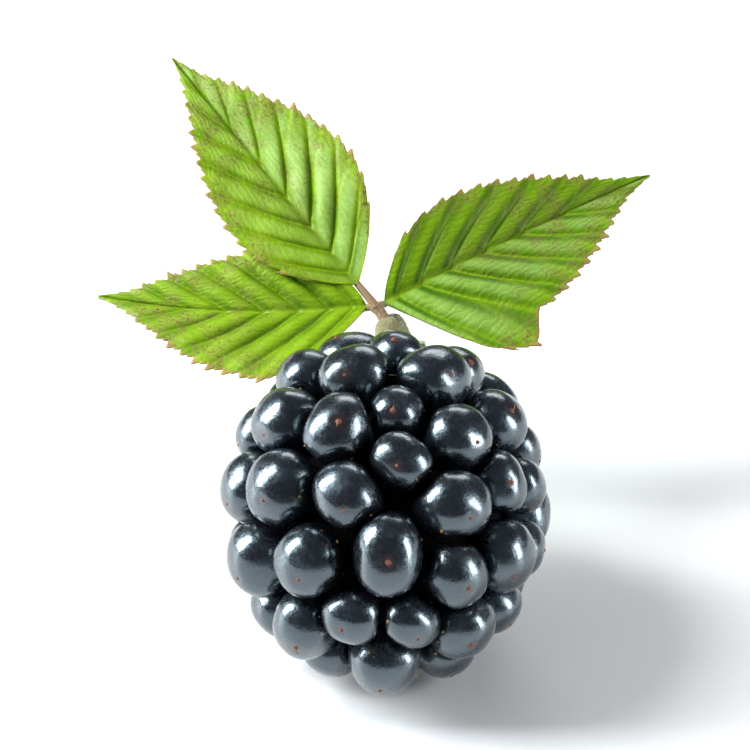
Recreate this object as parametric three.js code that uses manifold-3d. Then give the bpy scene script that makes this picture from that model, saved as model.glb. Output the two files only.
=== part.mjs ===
// A bramble berry as picked. The fruit lies on its side on its lowest drupelets, its stalk end raised and
// pointing along +Y, with its calyx, a short cut stalk, and one leaf of three toothed leaflets.
// Millimetres, +Z up. The origin is the flat spot of the resting drupelet nearest below the fruit's middle.
import * as THREE from "three";
import { mergeVertices } from "three/addons/utils/BufferGeometryUtils.js";
import Module from "manifold-3d";

const wasm = await Module();
wasm.setup();

// Fruit
const FRUIT_WIDTH = 23;
const FRUIT_LENGTH = 26;
const STALK_END_RISE = THREE.MathUtils.degToRad(15);
const DRUPELET_COUNT = 62;
const DRUPELET_RADIUS = 2.25;
const DRUPELET_VARIATION = 0.17;
const DRUPELET_HEIGHT = 1.08; // radius along the surface normal, as a share of the radius across it
const STALK_HALF_SHARE = 0.46; // share of the length on the stalk side of the widest place
const STALK_POWER = 2.5; // the stalk end is blunt
const TIP_POWER = 2.05; // the tip is nearly an ellipse
const DRUPELET_CLEARANCE = 0.03; // between the flats of neighbours
const CORE_DEPTH = 1; // how far the core's surface lies under the drupelets' centres
const DRUPELET_SIDES = 10;
const DRUPELET_RINGS = [30, 60, 90, 115]; // degrees from a drupelet's outward direction
const CORE_STEPS = 10;
const CORE_SIDES = 14;
const SPIRAL_SPAN = 1.94; // the spiral covers this much of the unit sphere's height of 2, from the tip
const SPIRAL_JITTER = 0.5; // in radians
const EASING = { rounds: 90, reach: 1.14, step: 0.35 };
const CALYX_CLEARING = 2.3; // radius left free of drupelets round the stalk
const SEED = 229;

// How the soft fruit rests
const SAG = 0.9; // the lowest drupelets are pushed up by this much at most
const PRESS = 0.28; // depth of the flat that the surface presses on a drupelet

// Calyx
const SEPAL_COUNT = 5;
const SEPAL_LENGTH = 5.5; // from the stalk's middle
const SEPAL_WIDTH = 3.2;
const SEPAL_THICKNESS = 0.6;
const SEPAL_CURL = -0.35; // a sepal's tip bends this far back from the fruit, or towards it below 0
const SEPAL_TURN = THREE.MathUtils.degToRad(180); // one sepal points straight down
const SEPAL_STATIONS = [0, 0.2, 0.4, 0.6, 0.8, 1];
const SEPAL_PLACE_POWER = 0.75; // below 1 a sepal is widest nearer its foot
const SEPAL_FULLNESS = 0.8; // below 1 its sides are fuller than a sine
const SEPAL_POINT = 0.15; // half width at its foot and its tip
const SEPAL_HOLLOW = 0.2; // its middle lies this much lower than its edges
const DISC_SIDES = 12;
const DISC_TAPER = 0.8; // the disc's radius at its top, as a share
const CALYX_DISC_RADIUS = 1.8;
const CALYX_CROWN = 0.4; // how far the disc stands behind the sepals

// Stalk
const STALK_RADIUS = 0.75;
const STALK_JOINT_RADIUS = 1.05;
// The stalk's route in the fruit's frame, from where it leaves the calyx to its cut end.
const STALK_ROUTE = [
  [0, 0, 0],
  [0, 2.1, 0],
  [0.2, 4.2, 0],
  [0.7, 6.6, -1.5],
  [1.5, 8.4, -5.2],
];
const STALK_JOINT = 2; // the route's point where the stalk swells and bears the leaf
const STALK_STEPS = 12;
const TUBE_SIDES = 8;

// Leaf
const LEAF_STALK_RADIUS = 0.5;
const LEAFLET_STALK_RADIUS = 0.4; // at its thin end
const FORK_RADIUS = 0.75;
const LEAF_FORK = new THREE.Vector3(-0.9, 1.6, 1.2); // where the leaflets meet, from the stalk's joint
const LEAF_LEAN = THREE.MathUtils.degToRad(50); // the blades' plane above the horizontal
const BLADE_THICKNESS = 0.6;
const VEIN_PAIRS = 8;
const VEIN_ROOT_POWER = 1.45; // above 1 the veins leave the midrib closer together near its base
const VEIN_END_POWER = 0.66; // below 1 they reach the edge further apart near the base
const LEAF_BASE_POWER = 0.9; // below 1 a leaflet's base is round
const LEAF_TIP_POWER = 1.6; // the larger it is, the more drawn out the tip
const LEAF_BASE_ROWS = [0.0012, 0.01, 0.03]; // shares of all the veins where the round base has rows
const LEAF_STOP = 0.97;
const LEAF_COLUMNS = [-1, -0.5, 0, 0.5, 1];
const LEAF_FOLD = 0.22; // rise of each half from the midrib
const LEAF_ARCH = 0.1; // the tip bends back by this share of the length
const PLEAT_DEPTH = 0.3;
const PLEAT_FULL = 0.35; // share of the length from which the pleats have their whole depth
const PLEAT_PEAK_POWER = 0.8; // below 1 the pleats are deepest nearer the midrib than the edge
const VEIN_BOW = 1.15; // power that bows the veins forward
const TOOTH_DEPTH = 0.5;
const TOOTH_FORWARD = 0.016; // a tooth's tip leans forward by this share of the length
const TOOTH_FADE = 0.3; // share of the length before the tip where the teeth grow smaller
const TOOTH_DROP = 0.3; // share of a tooth's spacing from its tip to the notch before the next
const LOBE_RISE = 0.2; // shares of the length where a side leaflet's lobe has swollen out,
const LOBE_TIP = 0.33; // where it begins to end,
const LOBE_END = 0.42; // and where it has ended
const MIDRIB_REACH = 0.12; // share of the blade's length that the leaflet's own stalk runs under
// Lengths and widths each side of the midrib in mm, angles in degrees. turn is from straight up, to the left.
// The wider half bears the lobe. The midrib bows to the left by bow.
const LEAFLETS = {
  end: { length: 23.9, left: 4.9, right: 5.6, lobe: 0, bow: 0, turn: 38, stalk: 2.3, nod: 4, roll: -4 },
  left: { length: 20.9, left: 5.8, right: 4.6, lobe: 0.1, bow: 1.2, turn: 84, stalk: 0.7, nod: 5, roll: 17 },
  right: { length: 23.4, left: 4.7, right: 6.6, lobe: 0.4, bow: 0, turn: -61, stalk: 0.7, nod: 4, roll: -12 },
};

const GAP = 0.3; // clear space between touching pieces

const GREEN = 0x6aa31f;
const materials = {
  berry: new THREE.MeshStandardMaterial({ color: 0x14151b, roughness: 0.25, metalness: 0 }),
  calyx: new THREE.MeshStandardMaterial({ color: 0x8fa56a, roughness: 0.8, metalness: 0 }),
  stalk: new THREE.MeshStandardMaterial({ color: 0x8fa05a, roughness: 0.7, metalness: 0 }),
  leaf: new THREE.MeshStandardMaterial({ color: GREEN, roughness: 0.5, metalness: 0 }),
};

// A seeded draw from 0 to 1.
function makeDraw(seed) {
  let state = seed;
  return () => {
    state = (state * 1664525 + 1013904223) % 4294967296;
    return state / 4294967296;
  };
}

// The drupelets' centres lie on this egg, whose axis is +Y from the tip to the stalk end.
const EGG_RADIUS = FRUIT_WIDTH / 2 - DRUPELET_RADIUS * DRUPELET_HEIGHT;
const EGG_LENGTH = FRUIT_LENGTH - 2 * DRUPELET_RADIUS * DRUPELET_HEIGHT;
const EGG_STALK_HALF = EGG_LENGTH * STALK_HALF_SHARE;
const EGG_TIP_HALF = EGG_LENGTH - EGG_STALK_HALF;

function eggSide(y) {
  return y > 0 ? { half: EGG_STALK_HALF, power: STALK_POWER } : { half: EGG_TIP_HALF, power: TIP_POWER };
}

// Moves a point along its own direction onto the egg.
function ontoEgg(point) {
  const { half, power } = eggSide(point.y);
  const round = Math.pow(Math.hypot(point.x, point.z) / EGG_RADIUS, power);
  const along = Math.pow(Math.abs(point.y) / half, power);
  return point.multiplyScalar(Math.pow(round + along, -1 / power));
}

function eggNormal(point) {
  const { half, power } = eggSide(point.y);
  const across = Math.hypot(point.x, point.z);
  const round = Math.pow(across / EGG_RADIUS, power - 1) / EGG_RADIUS;
  const along = (Math.sign(point.y) * Math.pow(Math.abs(point.y) / half, power - 1)) / half;
  return new THREE.Vector3((point.x / across) * round, along, (point.z / across) * round).normalize();
}

// Drupelets start on a golden-angle spiral and are eased apart until they share the egg evenly.
function layDrupelets() {
  const draw = makeDraw(SEED);
  const goldenAngle = Math.PI * (3 - Math.sqrt(5));
  const drupelets = [];
  for (let i = 0; i < DRUPELET_COUNT; i++) {
    const y = -1 + (SPIRAL_SPAN * (i + 0.5)) / DRUPELET_COUNT;
    const across = Math.sqrt(1 - y * y);
    const turn = i * goldenAngle + SPIRAL_JITTER * (draw() - 0.5);
    const centre = new THREE.Vector3(across * Math.cos(turn), y, across * Math.sin(turn));
    const radius = DRUPELET_RADIUS * (1 + DRUPELET_VARIATION * (2 * draw() - 1));
    drupelets.push({ centre: ontoEgg(centre), radius });
  }
  for (let round = 0; round < EASING.rounds; round++) {
    const moves = drupelets.map(() => new THREE.Vector3());
    for (let i = 0; i < DRUPELET_COUNT; i++) {
      for (let j = i + 1; j < DRUPELET_COUNT; j++) {
        const away = drupelets[i].centre.clone().sub(drupelets[j].centre);
        const distance = away.length();
        const wanted = EASING.reach * (drupelets[i].radius + drupelets[j].radius);
        if (distance >= wanted) continue;
        away.multiplyScalar((EASING.step * (wanted - distance)) / distance);
        moves[i].add(away);
        moves[j].sub(away);
      }
    }
    drupelets.forEach(({ centre, radius }, i) => {
      centre.add(moves[i]);
      const across = Math.hypot(centre.x, centre.z);
      const clear = CALYX_CLEARING + radius;
      if (centre.y > 0 && across < clear) {
        centre.x *= clear / across;
        centre.z *= clear / across;
      }
      ontoEgg(centre);
    });
  }
  return drupelets;
}

// Turns the fruit onto its side, lets its lowest drupelets sag, and finds the one under its weight.
function settle(drupelets) {
  const tilt = new THREE.Quaternion().setFromAxisAngle(new THREE.Vector3(1, 0, 0), STALK_END_RISE);
  for (const drupelet of drupelets) {
    drupelet.upright = drupelet.centre.clone();
    drupelet.normal = eggNormal(drupelet.centre).applyQuaternion(tilt);
    drupelet.centre.applyQuaternion(tilt);
  }
  const foot = ({ centre, radius }) => centre.z - radius;
  const floor = Math.min(...drupelets.map(foot)) + SAG;
  const resting = drupelets.filter((drupelet) => foot(drupelet) < floor + PRESS / 2);
  for (const drupelet of resting) drupelet.centre.z = floor + drupelet.radius - PRESS;
  resting.sort((a, b) => Math.hypot(a.centre.x, a.centre.y) - Math.hypot(b.centre.x, b.centre.y));
  const spot = resting[0].centre;
  const shift = new THREE.Vector3(-spot.x, -spot.y, -floor);
  for (const drupelet of drupelets) drupelet.centre.add(shift);
  return { tilt, shift };
}

// A closed geometry as a solid, with only its positions kept.
function toSolid(geometry) {
  const bare = new THREE.BufferGeometry();
  bare.setAttribute("position", geometry.getAttribute("position"));
  if (geometry.index) bare.setIndex(geometry.index);
  const merged = mergeVertices(bare, 1e-4);
  return new wasm.Manifold(
    new wasm.Mesh({
      numProp: 3,
      vertProperties: Float32Array.from(merged.attributes.position.array),
      triVerts: Uint32Array.from(merged.index.array),
    }),
  );
}

function toMesh(solid, name) {
  const made = solid.getMesh();
  const geometry = new THREE.BufferGeometry();
  geometry.setAttribute("position", new THREE.BufferAttribute(made.vertProperties, made.numProp));
  geometry.setIndex(new THREE.BufferAttribute(made.triVerts, 1));
  geometry.computeVertexNormals();
  const mesh = new THREE.Mesh(geometry, materials[name]);
  mesh.name = name;
  return mesh;
}

// Joins solids into one body, with any hollow sealed inside filled and any loose scrap dropped.
function joined(solids) {
  const bodies = wasm.Manifold.union(solids).decompose();
  return bodies.reduce((largest, body) => (body.volume() > largest.volume() ? body : largest));
}

// How far a drupelet reaches from its centre in a direction: to its own round skin, or to the flat
// where it presses on a neighbour.
function drupeletReach(drupelets, own, direction) {
  const { centre, normal, radius } = drupelets[own];
  const outward = direction.dot(normal);
  const across = Math.sqrt(Math.max(0, 1 - outward * outward));
  let reach = radius / Math.hypot(across, outward / DRUPELET_HEIGHT);
  for (let other = 0; other < drupelets.length; other++) {
    if (other === own) continue;
    const toOther = drupelets[other].centre.clone().sub(centre);
    const distance = toOther.length();
    const facing = direction.dot(toOther) / distance;
    const flat = (distance * radius) / (radius + drupelets[other].radius) - DRUPELET_CLEARANCE;
    if (facing > 0) reach = Math.min(reach, flat / facing);
  }
  return reach;
}

// A drupelet's facets are rings round its outward direction, with a plain cone below, inside the core.
function makeDrupelet(drupelets, own) {
  const { centre, normal } = drupelets[own];
  const rings = DRUPELET_RINGS.map(THREE.MathUtils.degToRad);
  const profile = rings.map((angle) => new THREE.Vector2(Math.sin(angle), -Math.cos(angle)));
  profile.unshift(new THREE.Vector2(0, -1));
  profile.push(new THREE.Vector2(0, 1));
  const inward = new THREE.Quaternion().setFromUnitVectors(new THREE.Vector3(0, -1, 0), normal);
  const geometry = new THREE.LatheGeometry(profile, DRUPELET_SIDES).applyQuaternion(inward);
  const position = geometry.getAttribute("position");
  for (let i = 0; i < position.count; i++) {
    const direction = new THREE.Vector3().fromBufferAttribute(position, i).normalize();
    const point = direction.clone().multiplyScalar(drupeletReach(drupelets, own, direction)).add(centre);
    position.setXYZ(i, point.x, point.y, point.z);
  }
  return toSolid(geometry);
}

// The hidden receptacle that the drupelets grow on, and are sunk into.
function makeCore(place) {
  const profile = [];
  for (let step = 0; step <= CORE_STEPS; step++) {
    const angle = (Math.PI * step) / CORE_STEPS;
    const onAxis = step === 0 || step === CORE_STEPS;
    const point = ontoEgg(new THREE.Vector3(onAxis ? 0 : Math.sin(angle), -Math.cos(angle), 0));
    const outward = onAxis ? new THREE.Vector3(0, -Math.cos(angle), 0) : eggNormal(point);
    point.addScaledVector(outward, -CORE_DEPTH);
    profile.push(new THREE.Vector2(point.x, point.y));
  }
  return toSolid(placeOnFruit(new THREE.LatheGeometry(profile, CORE_SIDES), place));
}

// The fruit: drupelets on their core, flat where they rest.
function makeBerry(drupelets, place) {
  const beads = drupelets.map((_, own) => makeDrupelet(drupelets, own));
  const ground = new THREE.BoxGeometry(4 * FRUIT_LENGTH, 4 * FRUIT_LENGTH, FRUIT_LENGTH);
  ground.translate(0, 0, -FRUIT_LENGTH / 2);
  return joined([makeCore(place), ...beads]).subtract(toSolid(ground));
}

// A thin blade from rows of points on its upper face. Both faces are split into triangles alike, and the
// lower one lies a set way below, so that a waved blade never crosses itself.
function makeBlade(rows, below) {
  const columns = rows[0].length;
  const upper = rows.flat();
  const lower = upper.map((point) => point.clone().add(below));
  const at = (row, column) => row * columns + column;
  const faces = [];
  for (let row = 0; row + 1 < rows.length; row++) {
    for (let column = 0; column + 1 < columns; column++) {
      const [a, b] = [at(row, column), at(row, column + 1)];
      const [c, d] = [b + columns, a + columns];
      const mirrored = column < (columns - 1) / 2;
      const pair = mirrored ? [[a, b, d], [b, c, d]] : [[a, b, c], [a, c, d]];
      for (const [first, second, third] of pair) {
        faces.push(first, third, second);
        faces.push(first + upper.length, second + upper.length, third + upper.length);
      }
    }
  }
  const rim = [];
  for (let column = 0; column < columns - 1; column++) rim.push(at(0, column));
  for (let row = 0; row < rows.length - 1; row++) rim.push(at(row, columns - 1));
  for (let column = columns - 1; column > 0; column--) rim.push(at(rows.length - 1, column));
  for (let row = rows.length - 1; row > 0; row--) rim.push(at(row, 0));
  rim.forEach((corner, i) => {
    const next = rim[(i + 1) % rim.length];
    faces.push(corner, next, next + upper.length);
    faces.push(corner, next + upper.length, corner + upper.length);
  });
  const geometry = new THREE.BufferGeometry();
  const positions = [...upper, ...lower].flatMap((point) => point.toArray());
  geometry.setAttribute("position", new THREE.Float32BufferAttribute(positions, 3));
  geometry.setIndex(faces);
  return geometry;
}

function makeTube(points, radius, steps) {
  const circle = new THREE.Shape().absarc(0, 0, radius, 0, 2 * Math.PI);
  const extrudePath = new THREE.CatmullRomCurve3(points);
  // a circle is drawn with twice as many sides as its curveSegments
  return toSolid(new THREE.ExtrudeGeometry(circle, { curveSegments: TUBE_SIDES / 2, steps, extrudePath }));
}

// The fruit's own frame: +Y along its axis towards the stalk, turned with the fruit onto its side.
function placeOnFruit(geometry, { tilt, shift }) {
  return geometry.applyQuaternion(tilt).translate(shift.x, shift.y, shift.z);
}

function pointOnFruit(x, y, z, { tilt, shift }) {
  return new THREE.Vector3(x, y, z).applyQuaternion(tilt).add(shift);
}

// Calyx: a small disc down in the clearing among the drupelets, and five sepals lying over them.
function makeCalyx(place, plane) {
  const discFoot = EGG_STALK_HALF - CORE_DEPTH + GAP;
  const discTop = plane + SEPAL_THICKNESS + CALYX_CROWN;
  const topRadius = CALYX_DISC_RADIUS * DISC_TAPER;
  const disc = new THREE.CylinderGeometry(topRadius, CALYX_DISC_RADIUS, discTop - discFoot, DISC_SIDES);
  const solids = [toSolid(placeOnFruit(disc.translate(0, (discTop + discFoot) / 2, 0), place))];
  for (let i = 0; i < SEPAL_COUNT; i++) {
    const rows = [];
    for (const t of SEPAL_STATIONS) {
      const bulge = Math.sin(Math.PI * Math.pow(t, SEPAL_PLACE_POWER));
      const half = (SEPAL_WIDTH / 2) * Math.pow(bulge, SEPAL_FULLNESS) + SEPAL_POINT;
      const along = CALYX_DISC_RADIUS / 2 + (SEPAL_LENGTH - CALYX_DISC_RADIUS / 2) * t;
      const edge = plane + SEPAL_THICKNESS + SEPAL_CURL * t * t * t;
      const left = new THREE.Vector3(-half, edge, along);
      const middle = new THREE.Vector3(0, edge - SEPAL_HOLLOW, along);
      const right = new THREE.Vector3(half, edge, along);
      rows.push([left, middle, right]);
    }
    const sepal = makeBlade(rows, new THREE.Vector3(0, -SEPAL_THICKNESS, 0));
    sepal.rotateY((2 * Math.PI * i) / SEPAL_COUNT + SEPAL_TURN);
    solids.push(toSolid(placeOnFruit(sepal, place)));
  }
  return joined(solids);
}

// Stalk: leaves the calyx along the fruit's axis, swells at the joint that bears the leaf, and droops.
function makeStalk(place, foot) {
  const route = STALK_ROUTE.map(([x, y, z]) => pointOnFruit(x, foot + y, z, place));
  const joint = route[STALK_JOINT];
  const swelling = new THREE.IcosahedronGeometry(STALK_JOINT_RADIUS, 1).translate(joint.x, joint.y, joint.z);
  return { solid: joined([makeTube(route, STALK_RADIUS, STALK_STEPS), toSolid(swelling)]), joint };
}

// Half the leaflet's width at a share of its length: a round base, widest before the middle, a drawn-out tip.
function leafOutline(t) {
  const widest = LEAF_BASE_POWER / (LEAF_BASE_POWER + LEAF_TIP_POWER);
  const shape = (share) => Math.pow(share, LEAF_BASE_POWER) * Math.pow(1 - share, LEAF_TIP_POWER);
  return shape(t) / shape(widest);
}

// A side leaflet's outer half swells towards a lobe, and drops back beyond it.
function lobeShare(t) {
  const swell = THREE.MathUtils.smoothstep(t, 0, LOBE_RISE);
  return swell * (1 - THREE.MathUtils.smoothstep(t, LOBE_TIP, LOBE_END));
}

// A point of a leaflet's upper face in its own frame: x along the midrib, y to the left, z up. Each row
// follows a vein's course: vein is its share of all the veins, and side runs from the midrib, 0, to the
// edge, 1 or -1.
function leafPoint({ length, left, right, lobe, bow }, vein, side, tooth) {
  const out = Math.abs(side);
  const width = side > 0 ? left : right;
  const toothed = out === 1 ? tooth : 0;
  const root = Math.pow(vein, VEIN_ROOT_POWER);
  const end = Math.pow(vein, VEIN_END_POWER);
  const along = root + (end - root) * Math.pow(out, VEIN_BOW) + toothed * TOOTH_FORWARD;
  const outline = leafOutline(end);
  const lobed = width > Math.min(left, right) ? 1 + lobe * lobeShare(end) : 1;
  const reach = out * width * lobed * outline + toothed * TOOTH_DEPTH * Math.min(1, (1 - end) / TOOTH_FADE);
  const wave = -Math.cos(2 * Math.PI * VEIN_PAIRS * vein) * outline * Math.min(1, end / PLEAT_FULL);
  const pleat = PLEAT_DEPTH * wave * Math.sin(Math.PI * Math.pow(out, PLEAT_PEAK_POWER));
  const arch = -LEAF_ARCH * length * along * along;
  const across = Math.sign(side) * reach + 4 * bow * along * (1 - along);
  return new THREE.Vector3(length * along, across, LEAF_FOLD * reach + arch + pleat);
}

function makeLeaflet(leaflet) {
  const { length, stalk } = leaflet;
  const [turn, nod, roll] = [leaflet.turn, leaflet.nod, leaflet.roll].map(THREE.MathUtils.degToRad);
  const rows = [];
  const makeRow = (vein, tooth) => LEAF_COLUMNS.map((side) => leafPoint(leaflet, vein, side, tooth));
  const teeth = 2 * VEIN_PAIRS;
  for (const vein of LEAF_BASE_ROWS) rows.push(makeRow(vein, 0));
  for (let i = 1; i < teeth; i++) {
    // an even tooth ends a vein, and an odd one lies between two veins
    rows.push(makeRow(i / teeth, 1));
    rows.push(makeRow((i + TOOTH_DROP) / teeth, 0));
  }
  rows.push(makeRow(LEAF_STOP, 0));
  const blade = makeBlade(rows, new THREE.Vector3(0, 0, -BLADE_THICKNESS));
  blade.translate(stalk, 0, BLADE_THICKNESS / 2);
  blade.rotateX(roll).rotateY(nod);
  const stemLength = stalk + length * MIDRIB_REACH;
  const stem = new THREE.CylinderGeometry(LEAFLET_STALK_RADIUS, LEAF_STALK_RADIUS, stemLength, TUBE_SIDES);
  stem.rotateZ(-Math.PI / 2).translate(stemLength / 2, 0, 0).rotateY(nod);
  const upright = new THREE.Vector3(0, Math.cos(LEAF_LEAN), Math.sin(LEAF_LEAN));
  const facing = new THREE.Vector3(0, -Math.sin(LEAF_LEAN), Math.cos(LEAF_LEAN));
  const pointing = upright.applyAxisAngle(facing, turn);
  const leftward = facing.clone().cross(pointing);
  const frame = new THREE.Matrix4().makeBasis(pointing, leftward, facing);
  return [toSolid(blade.applyMatrix4(frame)), toSolid(stem.applyMatrix4(frame))];
}

// Leaf: a short leaf stalk from the joint, forking into three leaflets.
function makeLeaf(joint) {
  const fork = joint.clone().add(LEAF_FORK);
  const foot = joint.clone().addScaledVector(LEAF_FORK.clone().normalize(), STALK_JOINT_RADIUS + GAP);
  const solids = Object.values(LEAFLETS).flatMap(makeLeaflet);
  solids.push(toSolid(new THREE.IcosahedronGeometry(FORK_RADIUS, 1)));
  const placed = solids.map((solid) => solid.translate(fork.toArray()));
  return joined([...placed, makeTube([foot, fork], LEAF_STALK_RADIUS, 2)]);
}

const drupelets = layDrupelets();
const place = settle(drupelets);
const endRing = Math.max(...drupelets.map(({ upright, radius }) => upright.y + radius * DRUPELET_HEIGHT));
const calyxPlane = endRing + GAP;
const stalkFoot = calyxPlane + SEPAL_THICKNESS + CALYX_CROWN + GAP;
const { solid: stalk, joint } = makeStalk(place, stalkFoot);

const part = new THREE.Group();
part.add(toMesh(makeBerry(drupelets, place), "berry"));
part.add(toMesh(makeCalyx(place, calyxPlane), "calyx"));
part.add(toMesh(stalk, "stalk"));
part.add(toMesh(makeLeaf(joint), "leaf"));

export default part;
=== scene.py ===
"""A bramble berry as picked: the glossy fruit lying on its side, with its calyx, short stalk and leaf.

Sizes are in millimetres, and each mesh is made in metres. The fruit's own frame has +Y along its axis
towards the stalk. The layout of the drupelets, the leaflets' outline and the stalk's route follow the
same rules as the solids that these pieces stand for.
"""
import math

import bpy
import numpy as np
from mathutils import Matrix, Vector


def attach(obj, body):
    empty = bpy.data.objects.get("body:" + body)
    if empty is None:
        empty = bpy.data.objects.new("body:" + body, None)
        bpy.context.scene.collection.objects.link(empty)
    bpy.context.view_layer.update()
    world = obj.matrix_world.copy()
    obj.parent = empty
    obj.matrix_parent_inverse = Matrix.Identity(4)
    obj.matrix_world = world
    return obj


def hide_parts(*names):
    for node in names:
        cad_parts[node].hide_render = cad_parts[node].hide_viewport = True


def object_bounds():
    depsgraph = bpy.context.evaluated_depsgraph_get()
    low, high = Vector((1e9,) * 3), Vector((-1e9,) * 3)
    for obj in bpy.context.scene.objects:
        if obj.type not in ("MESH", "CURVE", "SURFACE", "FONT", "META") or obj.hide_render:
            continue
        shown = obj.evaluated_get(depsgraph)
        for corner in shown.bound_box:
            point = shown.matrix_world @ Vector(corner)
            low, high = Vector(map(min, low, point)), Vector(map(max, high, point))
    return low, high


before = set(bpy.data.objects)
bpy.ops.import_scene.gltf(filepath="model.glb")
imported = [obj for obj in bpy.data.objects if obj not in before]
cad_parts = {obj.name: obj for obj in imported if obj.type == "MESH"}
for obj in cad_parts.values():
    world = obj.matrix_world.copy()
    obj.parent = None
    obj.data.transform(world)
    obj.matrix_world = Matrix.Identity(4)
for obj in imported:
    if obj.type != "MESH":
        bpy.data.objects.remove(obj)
cad_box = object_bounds()

MM = 0.001

# Fruit
FRUIT_WIDTH = 23.0
FRUIT_LENGTH = 26.0
STALK_END_RISE = math.radians(15)
DRUPELET_COUNT = 62
DRUPELET_RADIUS = 2.25
DRUPELET_VARIATION = 0.17
DRUPELET_HEIGHT = 1.08
SPIRAL_SPAN = 1.94
SPIRAL_JITTER = 0.5
EASING_ROUNDS = 90
EASING_REACH = 1.14
EASING_STEP = 0.35
STALK_HALF_SHARE = 0.46
STALK_POWER = 2.5
TIP_POWER = 2.05
DRUPELET_CLEARANCE = 0.03
CORE_DEPTH = 1.0
CALYX_CLEARING = 2.3
SEED = 229
SAG = 0.9
PRESS = 0.28
DRUPELET_SIDES = 36
DRUPELET_RINGS = 22
DRUPELET_OPENING = math.radians(112)  # a skin is modelled this far round from its outward direction
ROUNDING = 16  # power of the soft minimum that rounds a drupelet into its pressed sides
FULLNESS = 1.06  # a drupelet swells this much where nothing presses on it
PRESSING = 0.92  # its pressed sides lie at this share of the way to the place where neighbours would touch
DRUPELET_SQUARENESS = 2.25  # 2 is an ellipsoid
DRUPELET_STRETCH = 0.13  # most that one is longer one way and shorter the other
LUMP_HEIGHT = 0.009
SCAR_DIMPLE = 0.05

# Scars, styles and specks
SCAR_SIDES = 10
SCAR_PROFILE = [(0.2, -0.04), (0.19, 0.008), (0.13, 0.02), (0.08, 0.012), (0.06, 0.07), (0.03, 0.1)]
SCAR_TOP = 0.11
STYLE_COUNT = 16
SPECK_COUNT = 90
SPECK_SIDES = 6
STYLE_LOWEST = 5.0  # below this height the styles have rubbed off
CORE_LOWEST = 0.4
SCAR_LOWEST = 0.3
SPECK_LOWEST = 0.1

# Calyx
SEPAL_COUNT = 5
SEPAL_LENGTH = 5.5
SEPAL_WIDTH = 3.2
SEPAL_LIFT = 0.6
SEPAL_THICKNESS = 0.34
SEPAL_CURL = -0.35
SEPAL_TURN = math.radians(180)
CALYX_DISC_RADIUS = 1.8
CALYX_CROWN = 0.4
GAP = 0.3
SEPAL_ROWS = 30
SEPAL_HALF_COLUMNS = 8
SEPAL_HAIRS = 1500
STAMEN_COUNT = 34
HAIR_THICKNESS = 0.018

# Stalk
STALK_RADIUS = 0.75
STALK_JOINT_RADIUS = 1.05
STALK_ROUTE = [(0, 0, 0), (0, 2.1, 0), (0.2, 4.2, 0), (0.7, 6.6, -1.5), (1.5, 8.4, -5.2)]
ROUTE_JOINT = 2  # the stalk's joint is at this point of its route
ROUTE_STEPS = 16
STALK_SUNK = 0.35  # the stalk runs this far into the calyx
STALK_SIDES = 40
STALK_HAIRS = 420
STEM_HAIR_LENGTH = 0.35

# Leaf
LEAF_STALK_RADIUS = 0.42
LEAF_STALK_HAIRS = 160
LEAF_FORK = (-0.9, 1.6, 1.2)
LEAF_LEAN = math.radians(50)
LEAF_THICKNESS = 0.3
VEIN_PAIRS = 8
VEIN_ROOT_POWER = 1.45
VEIN_END_POWER = 0.66
LEAF_BASE_POWER = 0.9
LEAF_TIP_POWER = 1.6
LEAF_TIP_SLOPE = 1.25
LEAF_START = 0.012
LEAF_STOP = 0.999
LEAF_FOLD = 0.22
LEAF_ARCH = 0.1
VEIN_BOW = 1.15
PLEAT_DEPTH = 0.2
PLEAT_FULL = 0.5
EDGE_WAVE = 0.22
SWELL = 0.07
FURROW_DEPTH = 0.1
FORK_DEPTH = 0.05
GULLY_DEPTH = 0.2
VEIN_RIDGE = 0.16
MIDRIB_RIDGE = 0.42
TOOTH_DEPTH = 0.5
TOOTH_FORWARD = 0.016
TOOTH_ROOT = 0.9  # the teeth rise from this share of the half width
LOBE_RISE = 0.2
LOBE_TIP = 0.33
LOBE_END = 0.42
CLEAR_LOBE = 0.2  # a larger lobe's end is bare of teeth
# In this table, shade is how much painted shade a leaflet's colour gets, and sheen its painted sheen on its
# left and right half.
LEAFLETS = {
    "end": dict(
        length=23.9, left=4.9, right=5.6, lobe=0.0, bow=0.0,
        turn=38, stalk=2.3, nod=4, roll=-4, shade=0.0, sheen=(0.3, 0.9),
    ),
    "left": dict(
        length=20.9, left=5.8, right=4.6, lobe=0.1, bow=1.2,
        turn=84, stalk=0.7, nod=5, roll=17, shade=0.35, sheen=(0.0, 0.0),
    ),
    "right": dict(
        length=23.4, left=4.7, right=6.6, lobe=0.4, bow=0.0,
        turn=-61, stalk=0.7, nod=4, roll=-12, shade=1.0, sheen=(0.0, 0.85),
    ),
}
LEAF_FACTS = (
    "along", "out", "vein", "line", "flank", "midrib", "crest", "tooth", "run", "sheen", "shade", "under",
)
TEETH = 2 * VEIN_PAIRS
ROWS_PER_TOOTH = 16
HALF_COLUMNS = 22
RUNG_TURN = 2 * math.pi / 0.7  # the small cross veins lie this far apart

# Camera and stage
CAMERA_ELEVATION = math.radians(30)
CAMERA_LENS = 135.0
CAMERA_DISTANCE = 205.0
LIGHT_TARGET = (0, 5, 12)
ROOM_COLOUR = (0.8, 0.9, 1, 1)
ROOM_STRENGTH = 0.14
FLOOR_REACH = 4000
FLOOR_DROP = 0.02


def unit(vector):
    """Vectors of length one, along the last axis."""
    return vector / np.linalg.norm(vector, axis=-1, keepdims=True)


def turn_about(axis, angle):
    """Matrix of a turn about an axis."""
    x, y, z = unit(np.array(axis, float))
    cross = np.array([[0, -z, y], [z, 0, -x], [-y, x, 0]])
    return np.eye(3) + math.sin(angle) * cross + (1 - math.cos(angle)) * cross @ cross


TILT = turn_about((1, 0, 0), STALK_END_RISE)


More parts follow.
